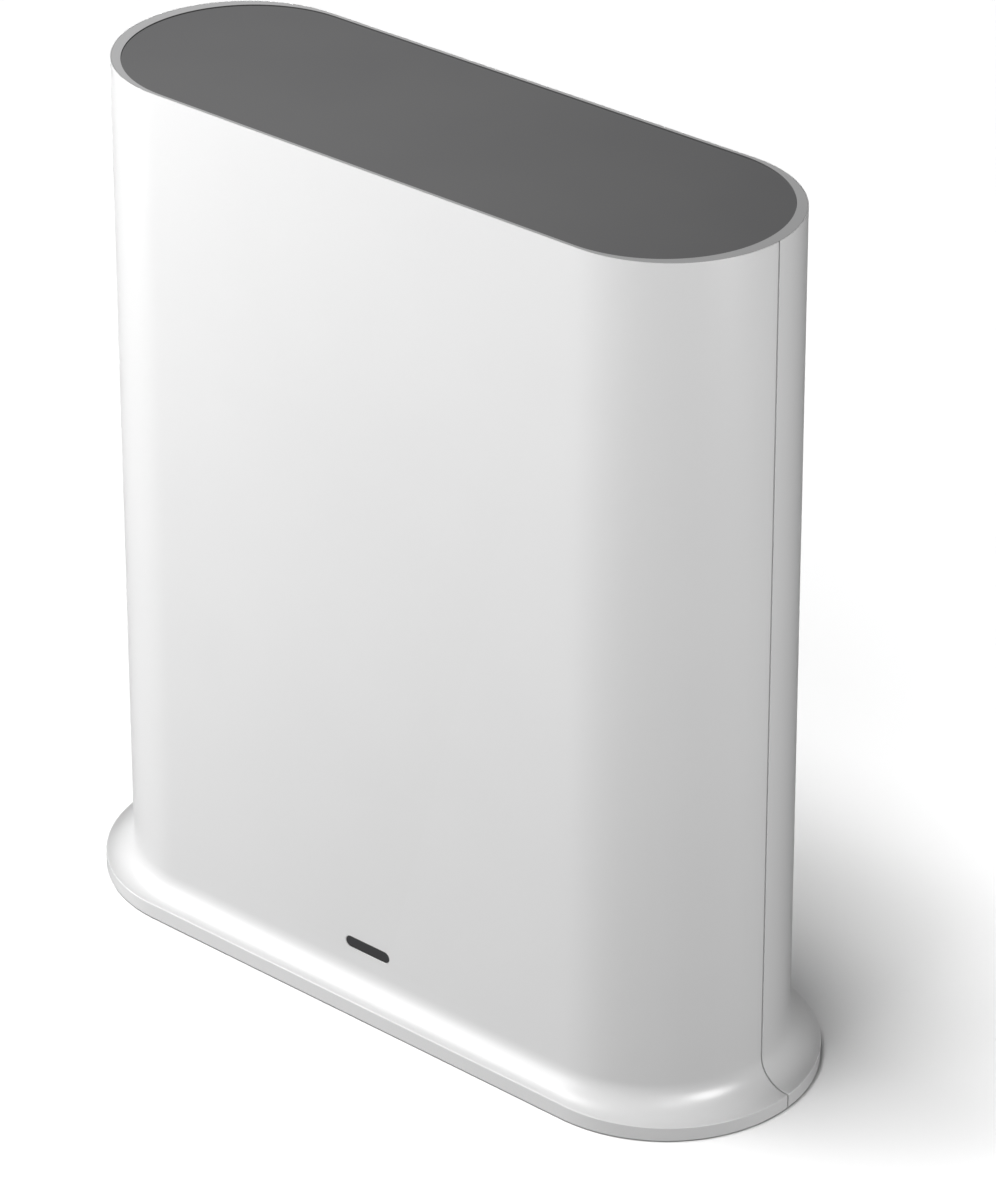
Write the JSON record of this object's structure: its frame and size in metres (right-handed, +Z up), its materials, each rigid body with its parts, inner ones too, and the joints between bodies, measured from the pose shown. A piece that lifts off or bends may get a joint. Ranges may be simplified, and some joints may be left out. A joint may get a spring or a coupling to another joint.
{
  "type": "security camera base station",
  "caption": "Upright slab with round ends, a flared foot and a dark top panel; links wireless security cameras to a home network through rear sockets, with a status light low on the front.",
  "frame": {"origin": "middle of the foot's outline, on the table under the rubber feet", "axes": "+Z up, -Y out of the front with the status light, X along the slab"},
  "size_m": [0.1386, 0.0508, 0.1484],
  "materials": {
    "white_gloss": "glossy moulded",
    "rim_grey": "satin moulded",
    "panel_grey": "fine matt",
    "base_grey": "fine matt",
    "rubber": "matt",
    "steel": "zinc plated",
    "smoked": "smoked clear",
    "clear": "clear polished",
    "board": "solder mask",
    "black_plastic": "matt moulded",
    "chip": "matt",
    "tin": "tin plated",
    "aluminium": "anodised clear",
    "gold": "gold plated",
    "pad": "soft matt",
    "lead": "smooth",
    "nylon": "natural",
    "orange": "matt moulded"
  },
  "bodies": {
    "housing": {"front_cover": "white_gloss", "rear_cover": "white_gloss", "top_cap": "rim_grey", "top_panel": "panel_grey", "base_plate": "base_grey", "rubber_feet": "rubber", "base_screws": "steel", "status_lens": "smoked", "light_guide": "clear", "status_led": "nylon", "main_board": "board", "board_screws": "steel", "processor": "chip", "thermal_pad": "pad", "heat_sink": "aluminium", "heat_sink_pins": "nylon", "ram_chip": "chip", "flash_chip": "chip", "wifi_shield": "tin", "wifi_chip": "chip", "camera_radio_shield": "tin", "camera_radio_chip": "chip", "crystals": "tin", "power_inductor": "chip", "capacitors": "tin", "ethernet_shell": "tin", "ethernet_insert": "black_plastic", "ethernet_contacts": "gold", "ethernet_lights": "clear", "ethernet_transformer": "chip", "usb_shell": "tin", "usb_tongue": "black_plastic", "usb_contacts": "gold", "power_jack": "black_plastic", "power_pin": "tin", "power_spring": "gold", "switch_bodies": "black_plastic", "switch_covers": "tin", "wifi_antenna_left": "board", "wifi_antenna_right": "board", "camera_antenna": "board", "wifi_lead_left": "lead", "wifi_lead_right": "lead", "camera_lead": "lead", "antenna_sockets": "gold", "antenna_plugs": "gold"},
    "sync": {"sync_button": "white_gloss", "sync_plunger": "orange"},
    "reset": {"reset_plunger": "orange"}
  },
  "joints": [
    {"name": "sync_press", "type": "slide", "parent": "housing", "child": "sync", "axis": [0, -1, 0], "range_m": [0, 0.0005], "stiffness_N_per_m": 2500},
    {"name": "reset_press", "type": "slide", "parent": "housing", "child": "reset", "axis": [0, -1, 0], "range_m": [0, 0.0005], "stiffness_N_per_m": 2500}
  ]
}
